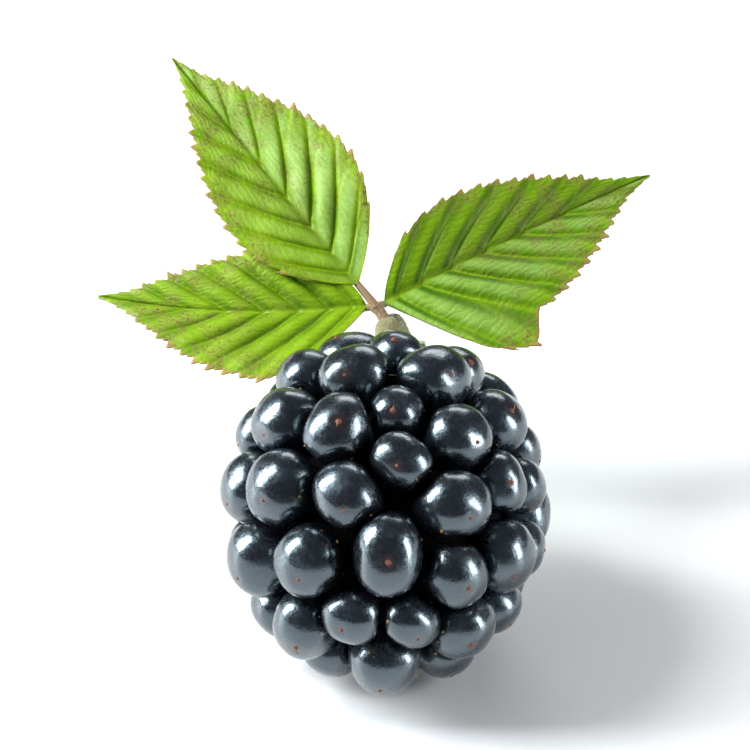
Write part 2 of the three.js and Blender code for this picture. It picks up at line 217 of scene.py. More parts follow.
def make_mesh(name, points, faces, material, stands_for=None, attributes=None):
    """A smooth mesh object made of points in millimetres, riding on the part's body."""
    mesh = bpy.data.meshes.new(name)
    mesh.from_pydata((np.asarray(points, float) * MM).tolist(), [], faces)
    mesh.shade_smooth()
    for label, values in (attributes or {}).items():
        mesh.attributes.new(label, "FLOAT", "POINT").data.foreach_set("value", np.asarray(values, np.float32))
    mesh.materials.append(material)
    piece = bpy.data.objects.new(name, mesh)
    bpy.context.scene.collection.objects.link(piece)
    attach(piece, "root")
    if stands_for:
        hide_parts(stands_for)


class Batch:
    """Collects points, faces and per-point values of many small shapes for one mesh."""

    def __init__(self, *labels):
        self.points = []
        self.faces = []
        self.values = {label: [] for label in labels}
        self.count = 0

    def add(self, points, faces, **values):
        points = np.asarray(points, float).reshape(-1, 3)
        self.faces.extend([tuple(int(i) + self.count for i in face) for face in faces])
        self.points.append(points)
        for label, stored in self.values.items():
            stored.append(np.broadcast_to(np.asarray(values[label], float), len(points)))
        self.count += len(points)

    def make(self, name, material, stands_for=None):
        attributes = {label: np.concatenate(stored) for label, stored in self.values.items()}
        points = np.concatenate(self.points)
        make_mesh(name, points, self.faces, material, stands_for, attributes)


def grid_faces(rows, columns, closed=False):
    """Quads of a grid whose points run row by row. A closed grid joins its last column to its first."""
    faces = []
    spans = columns if closed else columns - 1
    for row in range(rows - 1):
        for column in range(spans):
            beside = (column + 1) % columns
            a, b = row * columns + column, row * columns + beside
            faces.append((a, b, b + columns, a + columns))
    return faces


def tube_frames(path):
    """Directions along a path, and two directions across it that turn as little as possible."""
    path = np.asarray(path, float)
    along = unit(np.gradient(path, axis=0))
    side = np.zeros_like(path)
    start = np.array([1.0, 0, 0]) if abs(along[0][0]) < 0.9 else np.array([0, 0, 1.0])
    side[0] = unit(start - along[0] * (start @ along[0]))
    for i in range(1, len(path)):
        carried = side[i - 1] - along[i] * (side[i - 1] @ along[i])
        side[i] = unit(carried)
    return along, side, np.cross(along, side)


def tube(path, radii, sides):
    """Points and faces of a closed round tube. Its radii go by point of the path, or by point and side."""
    path = np.asarray(path, float)
    radii = np.asarray(radii, float)
    if radii.ndim == 1:
        radii = np.repeat(radii[:, None], sides, axis=1)
    _, side, other = tube_frames(path)
    angles = np.arange(sides) * 2 * math.pi / sides
    ring = side[:, None] * np.cos(angles)[None, :, None] + other[:, None] * np.sin(angles)[None, :, None]
    points = (path[:, None] + ring * radii[..., None]).reshape(-1, 3)
    faces = grid_faces(len(path), sides, closed=True)
    faces.append(tuple(range(sides))[::-1])
    last = (len(path) - 1) * sides
    faces.append(tuple(range(last, last + sides)))
    return points, faces


def spline(points, steps):
    """A smooth curve through points, with so many steps between two of them."""
    points = [np.array(point, float) for point in points]
    padded = [2 * points[0] - points[1], *points, 2 * points[-1] - points[-2]]
    curve = []
    for before, start, end, after in zip(padded, padded[1:], padded[2:], padded[3:]):
        for t in np.arange(steps) / steps:
            bend = 2 * before - 5 * start + 4 * end - after
            twist = -before + 3 * start - 3 * end + after
            curve.append(start + 0.5 * ((end - before) * t + bend * t**2 + twist * t**3))
    return np.array([*curve, points[-1]])


def smooth_step(value, low, high):
    """0 below the low value and 1 above the high one, with a soft rise between them."""
    share = np.clip((value - low) / (high - low), 0, 1)
    return share * share * (3 - 2 * share)


def bell(distance, width):
    """1 where the distance is 0, falling off smoothly to about a third at this width."""
    return np.exp(-((distance / width) ** 2))


def make_draw(seed):
    """A seeded draw from 0 to 1."""
    state = seed

    def draw():
        nonlocal state
        state = (state * 1664525 + 1013904223) % 4294967296
        return state / 4294967296

    return draw


# Layout of the fruit

EGG_RADIUS = FRUIT_WIDTH / 2 - DRUPELET_RADIUS * DRUPELET_HEIGHT
EGG_LENGTH = FRUIT_LENGTH - 2 * DRUPELET_RADIUS * DRUPELET_HEIGHT
EGG_STALK_HALF = EGG_LENGTH * STALK_HALF_SHARE
EGG_TIP_HALF = EGG_LENGTH - EGG_STALK_HALF


def egg_side(y):
    """Half length and roundness of the stalk side or the tip side of the egg that holds the centres."""
    stalk_side = y > 0
    return np.where(stalk_side, EGG_STALK_HALF, EGG_TIP_HALF), np.where(stalk_side, STALK_POWER, TIP_POWER)


def onto_egg(points):
    """Moves points along their own directions onto the egg."""
    half, power = egg_side(points[:, 1])
    across = (np.hypot(points[:, 0], points[:, 2]) / EGG_RADIUS) ** power
    along = (np.abs(points[:, 1]) / half) ** power
    return points * ((across + along) ** (-1 / power))[:, None]


def egg_normals(points):
    half, power = egg_side(points[:, 1])
    across = np.hypot(points[:, 0], points[:, 2])
    outward = (across / EGG_RADIUS) ** (power - 1) / EGG_RADIUS
    along = np.sign(points[:, 1]) * (np.abs(points[:, 1]) / half) ** (power - 1) / half
    return unit(np.stack([points[:, 0] / across * outward, along, points[:, 2] / across * outward], axis=1))


def lay_drupelets():
    """Centres and radii of the drupelets in the fruit's frame: a golden-angle spiral, eased apart."""
    draw = make_draw(SEED)
    golden_angle = math.pi * (3 - math.sqrt(5))
    centres = np.zeros((DRUPELET_COUNT, 3))
    radii = np.zeros(DRUPELET_COUNT)
    for i in range(DRUPELET_COUNT):
        y = -1 + SPIRAL_SPAN * (i + 0.5) / DRUPELET_COUNT
        across = math.sqrt(1 - y * y)
        turn = i * golden_angle + SPIRAL_JITTER * (draw() - 0.5)
        centres[i] = (across * math.cos(turn), y, across * math.sin(turn))
        radii[i] = DRUPELET_RADIUS * (1 + DRUPELET_VARIATION * (2 * draw() - 1))
    centres = onto_egg(centres)
    wanted = EASING_REACH * (radii[:, None] + radii[None, :])
    for _ in range(EASING_ROUNDS):
        away = centres[:, None] - centres[None, :]
        distance = np.linalg.norm(away, axis=2) + np.eye(DRUPELET_COUNT) * 1e9
        push = np.maximum(wanted - distance, 0) * EASING_STEP / distance
        centres = centres + (away * push[..., None]).sum(axis=1)
        across = np.hypot(centres[:, 0], centres[:, 2])
        clear = CALYX_CLEARING + radii
        stretch = np.where((centres[:, 1] > 0) & (across < clear), clear / across, 1.0)
        centres[:, 0] *= stretch
        centres[:, 2] *= stretch
        centres = onto_egg(centres)
    return centres, radii


rng = np.random.default_rng(SEED)
stretch_draws = rng.random((DRUPELET_COUNT, 2))
scar_draws = rng.random((DRUPELET_COUNT, 4))
lump_phases = rng.random((DRUPELET_COUNT, 3)) * 2 * math.pi
tones = rng.random(DRUPELET_COUNT)


class Fruit:
    """The drupelets where they lie once the fruit rests on its side."""

    def __init__(self):
        upright, self.radii = lay_drupelets()
        self.normals = egg_normals(upright) @ TILT.T
        centres = upright @ TILT.T
        feet = centres[:, 2] - self.radii
        floor = feet.min() + SAG
        resting = np.flatnonzero(feet < floor + PRESS / 2)
        centres[resting, 2] = floor + self.radii[resting] - PRESS
        nearest = resting[np.argmin(np.hypot(centres[resting, 0], centres[resting, 1]))]
        self.shift = np.array([-centres[nearest, 0], -centres[nearest, 1], -floor])
        self.centres = centres + self.shift
        self.end_ring = (upright[:, 1] + self.radii * DRUPELET_HEIGHT).max()
        self.axis = TILT @ np.array([0, 1.0, 0])

    def place(self, points):
        """Points of the fruit's frame where the resting fruit has them."""
        return np.asarray(points, float) @ TILT.T + self.shift

    def reach(self, own, directions):
        """How far a drupelet's skin lies from its centre in each direction, pressed in by its neighbours."""
        radius = self.radii[own]
        normal = self.normals[own]
        longer = turn_about(normal, stretch_draws[own, 0] * math.pi) @ unit(np.cross(normal, (0.3, 0.2, 1)))
        shorter = np.cross(normal, longer)
        stretch = 1 + DRUPELET_STRETCH * stretch_draws[own, 1]
        axes = np.stack([longer / stretch, shorter * stretch, normal / DRUPELET_HEIGHT])
        shares = np.abs(directions @ axes.T)
        total = (shares**DRUPELET_SQUARENESS).sum(axis=1)
        own_reach = FULLNESS * radius * total ** (-1 / DRUPELET_SQUARENESS)
        to_others = np.delete(self.centres, own, axis=0) - self.centres[own]
        distances = np.linalg.norm(to_others, axis=1)
        other_radii = np.delete(self.radii, own)
        near = distances < 2 * (radius + other_radii)
        flats = (PRESSING * distances * radius / (radius + other_radii) - DRUPELET_CLEARANCE)[near]
        facing = directions @ (to_others[near] / distances[near, None]).T
        limits = np.column_stack([own_reach, flats / np.maximum(facing, 1e-3)])
        return (limits**-ROUNDING).sum(axis=1) ** (-1 / ROUNDING)


fruit = Fruit()


def polar_directions(normal, angles, sides):
    """Directions in rings round a normal, one ring for each angle."""
    helper = np.array([0, 0, 1.0]) if abs(normal[2]) < 0.9 else np.array([1.0, 0, 0])
    right = unit(np.cross(helper, normal))
    up = np.cross(normal, right)
    turns = np.arange(sides) * 2 * math.pi / sides
    ring = np.outer(np.cos(turns), right) + np.outer(np.sin(turns), up)
    return (np.sin(angles)[:, None, None] * ring + np.cos(angles)[:, None, None] * normal).reshape(-1, 3)


def scar_direction(own):
    """Where a drupelet bears its style's scar: a little off its outermost point, towards the fruit's tip."""
    lean = 0.3 + 0.4 * scar_draws[own, 0]
    stray = 0.6 * (scar_draws[own, 1:4] - 0.5)
    return unit(fruit.normals[own] - fruit.axis * lean + stray)


def drupelet_points(own, directions):
    """Points of a drupelet's skin, a little lumpy and dimpled round its scar, and flat on the surface."""
    reach = fruit.reach(own, directions)
    broad = np.sin(directions * np.array([3.1, 2.6, 2.9]) + lump_phases[own]).sum(axis=1)
    waves = broad + 0.5 * np.sin(directions * np.array([6.7, 7.9, 7.3]) - lump_phases[own]).sum(axis=1)
    dimple = bell(directions @ scar_direction(own) - 1, 0.012)
    reach = reach * (1 + LUMP_HEIGHT * waves) - SCAR_DIMPLE * dimple
    points = fruit.centres[own] + directions * reach[:, None]
    points[:, 2] = np.maximum(points[:, 2], 0)
    return points


def make_drupelets(material):
    """The drupelets' skins, each closed by a plain cone inside the fruit."""
    batch = Batch("tone", "scar")
    angles = DRUPELET_OPENING * (np.arange(1, DRUPELET_RINGS + 1) / DRUPELET_RINGS)
    sides = DRUPELET_SIDES
    for own in range(DRUPELET_COUNT):
        normal = fruit.normals[own]
        directions = np.vstack([normal, polar_directions(normal, angles, sides)])
        points = drupelet_points(own, directions)
        foot = fruit.centres[own] - normal * 0.4 * fruit.radii[own]
        faces = [(0, 1 + i, 1 + (i + 1) % sides) for i in range(sides)]
        faces += [tuple(1 + i for i in face[::-1]) for face in grid_faces(DRUPELET_RINGS, sides, closed=True)]
        last = 1 + (DRUPELET_RINGS - 1) * sides
        end = len(points)
        faces += [(last + i, end, last + (i + 1) % sides) for i in range(sides)]
        scar = bell(directions @ scar_direction(own) - 1, 0.02)
        batch.add(np.vstack([points, foot]), faces, tone=tones[own], scar=np.append(scar, 0))
    batch.make("berry_drupelets", material, "berry")


def make_core(material):
    """The receptacle between the drupelets, coloured near black as painted shade for the deepest gaps."""
    steps, sides = 48, 64
    angles = math.pi * (np.arange(steps + 1) / steps)
    angles[0], angles[-1] = 1e-4, math.pi - 1e-4
    profile = onto_egg(np.stack([np.sin(angles), -np.cos(angles), np.zeros(steps + 1)], axis=1))
    profile = profile - egg_normals(profile) * CORE_DEPTH
    turns = np.arange(sides) * 2 * math.pi / sides
    round_axis = np.stack([np.cos(turns), np.sin(turns)], axis=1)
    rings = [[(radius * c, y, radius * s) for c, s in round_axis] for radius, y, _ in profile]
    points = fruit.place(np.array(rings).reshape(-1, 3))
    points[:, 2] = np.maximum(points[:, 2], CORE_LOWEST)
    faces = [face[::-1] for face in grid_faces(steps + 1, sides, closed=True)]
    make_mesh("berry_core", points, faces, material)


def make_scars(material):
    """The small brown scar of each drupelet's style: a low rim round the stub that is left."""
    batch = Batch()
    sides = SCAR_SIDES
    for own in range(DRUPELET_COUNT):
        direction = scar_direction(own)
        centre = drupelet_points(own, direction[None])[0]
        size = 0.6 + 0.6 * scar_draws[own, 3]
        rings = []
        for radius, height in SCAR_PROFILE:
            ring = polar_directions(direction, np.array([math.pi / 2]), sides) * radius
            rings.append(centre + size * (ring + direction * height))
        top = centre + size * direction * SCAR_TOP
        faces = grid_faces(len(rings), sides, closed=True)
        end = len(rings) * sides
        last = end - sides
        faces += [(last + i, last + (i + 1) % sides, end) for i in range(sides)]
        faces.append(tuple(range(sides))[::-1])
        points = np.vstack([*rings, top])
        if centre[2] > SCAR_LOWEST:
            batch.add(points, faces)
    batch.make("berry_scars", material)


def make_styles(material):
    """The dry styles that some drupelets keep: short brown hairs, bent down onto the skin."""
    batch = Batch("tone")
    for own in rng.permutation(DRUPELET_COUNT)[:STYLE_COUNT]:
        direction = scar_direction(own)
        base = drupelet_points(own, direction[None])[0]
        aside = unit(np.cross(direction, rng.normal(size=3)))
        length = 0.35 + 0.5 * rng.random()
        shares = np.linspace(0, 1, 9)
        bend = 0.4 + 0.4 * rng.random()
        outward = np.outer(shares * (1 - bend * shares), direction)
        path = base + length * (outward + np.outer(bend * shares**1.6, aside))
        points, faces = tube(path, 0.045 - 0.025 * shares, 5)
        if points[:, 2].min() > STYLE_LOWEST:
            batch.add(points, faces, tone=rng.random())
    batch.make("berry_styles", material)


def make_specks(material):
    """Dry yellow-brown crumbs of pollen and anthers, caught on the drupelets' flanks."""
    batch = Batch("tone")
    sides = SPECK_SIDES
    for _ in range(SPECK_COUNT):
        own = rng.integers(DRUPELET_COUNT)
        normal = fruit.normals[own]
        aside = unit(np.cross(normal, rng.normal(size=3)))
        lean = math.radians(55 + 35 * rng.random())
        direction = math.cos(lean) * normal + math.sin(lean) * aside
        middle = drupelet_points(own, direction[None])[0]
        rings = polar_directions(direction, np.radians([10, 60, 120, 170]), sides)
        lumps = 0.6 + 0.8 * rng.random((len(rings), 1))
        flat = rings - 0.5 * np.outer(rings @ direction, direction)
        points = middle + flat * lumps * (0.06 + 0.09 * rng.random())
        faces = [face[::-1] for face in grid_faces(len(points) // sides, sides, closed=True)]
        faces += [tuple(range(sides)), tuple(range(len(points) - sides, len(points)))[::-1]]
        if points[:, 2].min() > SPECK_LOWEST:
            batch.add(points, faces, tone=rng.random())
    batch.make("berry_specks", material)


def add_hair(batch, root, direction, length, sag):
    """A tapered hair of three sides from a root, drawn aside by its sag."""
    shares = np.linspace(0, 1, 4)[:, None]
    path = root + length * (shares * direction + shares**2 * sag)
    points, faces = tube(path, HAIR_THICKNESS * (1 - 0.85 * shares[:, 0]), 3)
    batch.add(points, faces)


def fuzz_tube(batch, path, radii, count, draws):
    """Hairs all round a tube that follows a path."""
    along, side, other = tube_frames(path)
    for _ in range(count):
        i = draws.integers(1, len(path) - 1)
        turn = 2 * math.pi * draws.random()
        outward = math.cos(turn) * side[i] + math.sin(turn) * other[i]
        root = path[i] + outward * (radii[i] - 0.03) + along[i] * 0.3 * (draws.random() - 0.5)
        direction = unit(outward + 0.4 * along[i])
        sag = 0.35 * draws.normal(size=3)
        add_hair(batch, root, direction, STEM_HAIR_LENGTH * (0.5 + draws.random()), sag)


# Leaf


def leaf_outline(t):
    """Half a leaflet's width along its length: a round base, and a drawn-out tip with straight sides."""
    widest = LEAF_BASE_POWER / (LEAF_BASE_POWER + LEAF_TIP_POWER)
    top = widest**LEAF_BASE_POWER * (1 - widest) ** LEAF_TIP_POWER
    outline = t**LEAF_BASE_POWER * (1 - t) ** LEAF_TIP_POWER / top
    return np.where(t > 0.5, np.maximum(outline, LEAF_TIP_SLOPE * (1 - t)), outline)


def saw(phase, fall=1 / 6):
    """A saw's edge that climbs to 1 where the phase is whole and drops soon after it."""
    share = (phase - fall) % 1
    return np.where(share < 1 - fall, share / (1 - fall), (1 - share) / fall)


def teeth_along(vein, t, sizes):
    """How far the edge stands out along it: large teeth with a small one on each back."""
    which = np.clip(np.ceil(vein * TEETH - 1 / 6).astype(int), 0, TEETH)
    fade = smooth_step(t, 0, 0.1) * (1 - 0.9 * smooth_step(t, 0.7, 1))
    large = saw(vein * TEETH)
    return (0.8 * large**1.5 + 0.3 * saw(2 * vein * TEETH) * (large < 0.9)) * sizes[which] * fade


def leaflet_edge(leaflet, t, vein, side, sizes):
    """How far out each point of a leaflet lies, with its lobe, and how far its teeth stand out."""
    left = side > 0
    width = np.where(left, leaflet["left"], leaflet["right"])
    wider = width > min(leaflet["left"], leaflet["right"])
    lobe = smooth_step(t, 0, LOBE_RISE) * (1 - smooth_step(t, LOBE_TIP, LOBE_END))
    lobed = np.where(wider, 1 + leaflet["lobe"] * lobe, 1.0)
    teeth = np.where(left, teeth_along(vein, t, sizes[0]), teeth_along(vein, t, sizes[1]))
    teeth = teeth * smooth_step(np.abs(side), TOOTH_ROOT, 1)
    dropping = smooth_step(t, LOBE_TIP, LOBE_TIP + 0.01) * (1 - smooth_step(t, LOBE_END - 0.02, LOBE_END))
    teeth = teeth * np.where(wider & (leaflet["lobe"] > CLEAR_LOBE), 1 - 0.9 * dropping, 1.0)
    return np.abs(side) * width * lobed * leaf_outline(t) + teeth * TOOTH_DEPTH, teeth


def vein_marks(t, vein, out, reach):
    """Where the side veins run, with their furrows, the painted shade beside them and their forked ends, and
    the midrib's gully.
    """
    phase = (VEIN_PAIRS * vein + 0.5) % 1 - 0.5
    forked = (phase + 0.5 * np.clip((out - 0.45) / 0.55, 0, 1) + 0.5) % 1 - 0.5
    fading = smooth_step(leaf_outline(t), 0, 0.3)
    begun = smooth_step(t, 0.05, 0.45)
    return {
        "furrow": bell(phase, 0.1) * fading * (1 - 0.6 * out) * begun,
        "line": bell(phase, 0.05) * fading * (1 - 0.4 * out) * begun,
        # This mark places painted shade beside each side vein.
        "flank": bell(phase + 0.19, 0.13) * fading * (1 - 0.6 * out) * smooth_step(t, 0.02, 0.15),
        "fork": bell(forked, 0.06) * smooth_step(out, 0.45, 0.55) * fading * (1 - 0.5 * out),
        "midrib": bell(reach, 0.14 * (1.15 - t)),
        "gully": bell(reach, 0.42 * (1.15 - t)),
    }


def leaflet_surface(leaflet, sizes, waves):
    """Points of a leaflet's middle surface, in rows along the veins, with the facts of each."""
    t = np.linspace(LEAF_START, LEAF_STOP, TEETH * ROWS_PER_TOOTH + 1)[:, None]
    shares = np.linspace(-1, 1, 2 * HALF_COLUMNS + 1)[None, :]
    side = np.sign(shares) * (1 - (1 - np.abs(shares)) ** 1.25)
    out, hand = np.abs(side), np.sign(side)
    vein = t ** (1 / VEIN_END_POWER)
    root = vein**VEIN_ROOT_POWER
    outline = leaf_outline(t)
    reach, teeth = leaflet_edge(leaflet, t, vein, side, sizes)
    marks = vein_marks(t, vein, out, reach)
    along = root + (t - root) * out**VEIN_BOW + TOOTH_FORWARD * teeth
    length = leaflet["length"]
    x = length * along
    y = hand * reach + 4 * leaflet["bow"] * along * (1 - along)
    quilt = 2 * np.abs(np.sin(math.pi * VEIN_PAIRS * vein)) ** 0.8 - 1
    uneven = 1 + 0.3 * np.sin(11 * vein + waves[2] + 2 * hand)
    pleat = PLEAT_DEPTH * uneven * quilt * np.sin(math.pi * out**0.8) * outline
    pleat = pleat * smooth_step(t, 0, PLEAT_FULL)
    wave = EDGE_WAVE * outline * out * np.sin(x * waves[0] + waves[1] * hand + waves[2])
    swell = SWELL * outline * np.sin(2.1 * x + waves[2]) * np.sin(1.7 * reach + 6 * waves[0])
    grooves = FURROW_DEPTH * marks["furrow"] + FORK_DEPTH * marks["fork"]
    z = LEAF_FOLD * reach - LEAF_ARCH * x**2 / length + pleat + wave + swell
    z = z - grooves * (1 - smooth_step(out, TOOTH_ROOT, 1)) - GULLY_DEPTH * marks["gully"]
    # Where painted sheen goes: the raised pleats of the halves that the leaflet's sheen pair picks.
    sheen = np.where(side > 0, *leaflet["sheen"]) * smooth_step(1 - out, 0, 0.3)
    facts = {
        "along": t,
        "out": out,
        "vein": np.maximum(marks["furrow"], 0.8 * marks["gully"]),
        "line": np.maximum(marks["line"], 0.6 * marks["fork"]),
        "flank": marks["flank"],
        "midrib": marks["midrib"],
        "crest": 0.5 + 0.5 * quilt,
        "tooth": teeth,
        "run": np.hypot(x - length * root, reach),
        "sheen": sheen * smooth_step(quilt, -0.2, 0.8),
        "shade": leaflet["shade"],
    }
    full = {label: fact * np.ones_like(z) for label, fact in facts.items()}
    return np.stack([x, y, z], axis=2), full


def leaflet_frame(leaflet):
    """Matrix from a leaflet's own frame to the part's, turned about the place where the leaflets meet."""
    roll = turn_about((1, 0, 0), math.radians(leaflet["roll"]))
    nod = turn_about((0, 1, 0), math.radians(leaflet["nod"]))
    facing = np.array([0, -math.sin(LEAF_LEAN), math.cos(LEAF_LEAN)])
    upright = np.array([0, math.cos(LEAF_LEAN), math.sin(LEAF_LEAN)])
    pointing = turn_about(facing, math.radians(leaflet["turn"])) @ upright
    leftward = np.cross(facing, pointing)
    return np.column_stack([pointing, leftward, facing]) @ nod @ roll


def add_blade(batch, leaflet, number, fork):
    """A leaflet's blade: thin at its rim, with the veins raised on its lower face."""
    draws = np.random.default_rng(SEED + number)
    sizes = 0.75 + 0.5 * draws.random((2, TEETH + 1))
    waves = (0.35 + 0.15 * draws.random(), 1.2 * draws.random(), 6 * draws.random())
    surface, facts = leaflet_surface(leaflet, sizes, waves)
    rows, columns, _ = surface.shape
    thickness = LEAF_THICKNESS * (0.3 + 0.7 * smooth_step(1 - facts["out"], 0, 0.12))
    ridge = VEIN_RIDGE * facts["vein"] + MIDRIB_RIDGE * facts["midrib"] * (1 - 0.75 * facts["along"])
    upper = surface.copy()
    upper[..., 2] += thickness / 2
    lower = surface.copy()
    lower[..., 2] -= thickness / 2 + ridge
    points = np.vstack([upper.reshape(-1, 3), lower.reshape(-1, 3)])
    points[:, 0] += leaflet["stalk"]
    turned = points @ leaflet_frame(leaflet).T + fork
    values = {label: np.tile(fact.reshape(-1), 2) for label, fact in facts.items()}
    batch.add(turned, shell_faces(rows, columns), under=np.repeat([0, 1], rows * columns), **values)


def add_leaflet_stalk(batch, leaflet, fork):
    """A leaflet's short stalk, which runs on under its blade as the root of the midrib."""
    shares = np.linspace(-0.1, 1, 8)
    midline = np.stack([leaflet["stalk"] * shares, 0 * shares, -0.05 - 0.25 * shares**2], axis=1)
    beyond = leaflet["length"] * np.array([0.02, 0.05, 0.1, 0.16])
    depth = -0.34 - LEAF_ARCH * beyond**2 / leaflet["length"]
    arched = np.stack([leaflet["stalk"] + beyond, 0 * beyond, depth], axis=1)
    path = np.vstack([midline, arched]) @ leaflet_frame(leaflet).T + fork
    radii = np.interp(np.arange(len(path)), [0, 7, 11], [0.36, 0.27, 0.15])
    batch.add(*tube(path, radii, 16))


def make_leaf(material, stalk_material, hair_material, joint):
    """Three leaflets with their short stalks, on the leaf stalk that grows from the fruit stalk's joint."""
    fork = joint + np.array(LEAF_FORK)
    blades = Batch(*LEAF_FACTS)
    stems = Batch()
    for number, leaflet in enumerate(LEAFLETS.values()):
        add_blade(blades, leaflet, number, fork)
        add_leaflet_stalk(stems, leaflet, fork)
    petiole = spline([joint, joint + np.array(LEAF_FORK) * [0.35, 0.6, 0.5], fork], 14)
    shares = np.linspace(0, 1, len(petiole))
    radii = LEAF_STALK_RADIUS + (0.3 * bell(shares, 0.16) + 0.12 * bell(shares - 1, 0.1))
    stems.add(*tube(petiole, radii, 20))
    blades.make("leaf_blades", material, "leaf")
    stems.make("leaf_stalk", stalk_material)
    hairs = Batch()
    fuzz_tube(hairs, petiole, radii, LEAF_STALK_HAIRS, np.random.default_rng(SEED))
    hairs.make("leaf_stalk_hairs", hair_material)


# Calyx and stalk


def sepal_points(draws, plane):
    """The upper and lower face of a sepal in the fruit's frame, pointing along +Z."""
    t = np.linspace(0, 1, SEPAL_ROWS)[:, None]
    side = np.linspace(-1, 1, 2 * SEPAL_HALF_COLUMNS + 1)[None, :]
    length = SEPAL_LENGTH * (0.9 + 0.12 * draws[0])
    half = SEPAL_WIDTH / 2 * np.sin(math.pi * t**0.75) ** 0.8 * (1 - 0.25 * t) + 0.05
    along = CALYX_DISC_RADIUS / 2 + (length - CALYX_DISC_RADIUS / 2) * t
    rise = SEPAL_LIFT + (SEPAL_CURL + 0.3 * (draws[1] - 0.5)) * t**3 - 0.25 * (1 - side**2) * (1 - 0.5 * t)
    wave = 0.1 * t * np.sin(7 * t + 6 * draws[2] + side) * np.abs(side)
    ribs = 0.04 * np.cos(4 * math.pi * side) * (1 - t)
    middle = plane + rise - 0.12 + ribs + wave
    thick = SEPAL_THICKNESS * (0.35 + 0.65 * (1 - side**2)) * (1 - 0.5 * t)
    across = side * half + 0.5 * (draws[3] - 0.5) * t**2
    upper = np.stack(np.broadcast_arrays(across, middle + thick / 2, along), axis=2)
    lower = np.stack(np.broadcast_arrays(across, middle - thick / 2, along), axis=2)
    return upper, lower


def shell_faces(rows, columns):
    """Faces of a blade whose upper grid is followed by its lower grid, with the rim between them."""
    total = rows * columns
    quads = grid_faces(rows, columns)
    faces = [face[::-1] for face in quads] + [tuple(k + total for k in face) for face in quads]
    loop = [*range(columns)]
    loop += [row * columns + columns - 1 for row in range(1, rows)]
    loop += [(rows - 1) * columns + column for column in range(columns - 2, -1, -1)]
    loop += [row * columns for row in range(rows - 2, 0, -1)]
    return faces + [(a, b, b + total, a + total) for a, b in zip(loop, loop[1:] + loop[:1])]


def add_sepal_down(batch, points, outward, draws):
    """Hairs on both faces of a sepal, twice as many on the upper one."""
    face = len(points) // 2
    roots = draws.integers(0, face, SEPAL_HAIRS // SEPAL_COUNT)
    for number, root in enumerate(roots):
        below = number % 3 == 0
        lift = -0.5 if below else 1.0
        direction = unit(fruit.axis * lift + outward * 0.5 + 0.5 * draws.normal(size=3))
        sag = 0.4 * outward + 0.2 * draws.normal(size=3)
        add_hair(batch, points[root + face * below], direction, 0.15 + 0.25 * draws.random(), sag)


def calyx_disc(plane):
    """The disc that bears the sepals, on the short neck that runs into the fruit."""
    foot = EGG_STALK_HALF - CORE_DEPTH + GAP
    top = plane + SEPAL_LIFT + CALYX_CROWN
    profile = [
        (foot, 1.4), (plane - 0.3, 1.55), (plane, 1.8), (plane + 0.35, 1.85),
        (plane + 0.7, 1.65), (top - 0.15, 1.2), (top - 0.04, 0.85), (top, 0.5),
    ]
    points, faces = tube([(0, height, 0) for height, _ in profile], [radius for _, radius in profile], 40)
    return fruit.place(points), faces


def make_calyx(material, hair_material, stamen_material, plane):
    """Five downy sepals on their disc, with the dry stamens left between them and the drupelets."""
    batch = Batch()
    hairs = Batch()
    draws = np.random.default_rng(SEED)
    for i in range(SEPAL_COUNT):
        upper, lower = sepal_points(draws.random(4), plane)
        rows, columns, _ = upper.shape
        turn = turn_about((0, 1, 0), 2 * math.pi * i / SEPAL_COUNT + SEPAL_TURN)
        points = fruit.place(np.vstack([upper.reshape(-1, 3), lower.reshape(-1, 3)]) @ turn.T)
        batch.add(points, shell_faces(rows, columns))
        add_sepal_down(hairs, points, TILT @ turn @ np.array([0, 0, 1.0]), draws)
    batch.add(*calyx_disc(plane))
    batch.make("calyx_sepals", material, "calyx")
    hairs.make("calyx_hairs", hair_material)
    make_stamens(stamen_material, plane, draws)


def make_stamens(material, plane, draws):
    """Withered stamens: thin bent threads from the disc's rim, each with a shrunken anther."""
    batch = Batch("tone")
    shares = np.linspace(0, 1, 10)
    for i in range(STAMEN_COUNT):
        turn = turn_about((0, 1, 0), 2 * math.pi * (i + 0.7 * draws.random()) / STAMEN_COUNT)
        length = 1.7 + 1.5 * draws.random()
        drop = -0.35 * draws.random()
        sway = 0.9 * (draws.random() - 0.5)
        height = plane - 0.05 - 0.15 * draws.random() + drop * shares**2
        route = np.stack([sway * shares**2, height, 1.6 + length * shares], axis=1)
        route[:, 1] += 0.06 * np.sin(9 * shares + 6 * draws.random())
        radii = 0.05 - 0.015 * shares + 0.07 * bell(shares - 0.93, 0.06)
        points, faces = tube(fruit.place(route @ turn.T), radii, 6)
        batch.add(points, faces, tone=draws.random())
    batch.make("calyx_stamens", material)


def make_stalk(material, hair_material, foot):
    """The cut stalk, with its low ribs and the swelling at the joint."""
    route = spline([(x, foot + y - STALK_SUNK * (y == 0), z) for x, y, z in STALK_ROUTE], ROUTE_STEPS)
    path = fruit.place(route)
    steps = np.linalg.norm(np.diff(path, axis=0), axis=1)
    travelled = np.append(0, np.cumsum(steps))
    joint_at = travelled[ROUTE_JOINT * ROUTE_STEPS]
    swelling = (STALK_JOINT_RADIUS - STALK_RADIUS) * bell(travelled - joint_at, 0.8)
    collar = 0.25 * bell(travelled, 0.5)
    angles = np.arange(STALK_SIDES) * 2 * math.pi / STALK_SIDES
    ribs = 1 + 0.03 * np.cos(5 * angles)
    radii = (STALK_RADIUS * 0.96 + swelling + collar)[:, None] * ribs[None, :]
    batch = Batch("cut")
    points, faces = tube(path, radii, STALK_SIDES)
    shares = np.repeat(travelled / travelled[-1], STALK_SIDES)
    batch.add(points, faces, cut=smooth_step(shares, 0.96, 1))
    batch.make("stalk_skin", material, "stalk")
    hairs = Batch()
    fuzz_tube(hairs, path, radii.min(axis=1), STALK_HAIRS, np.random.default_rng(SEED + 1))
    hairs.make("stalk_hairs", hair_material)


# Materials


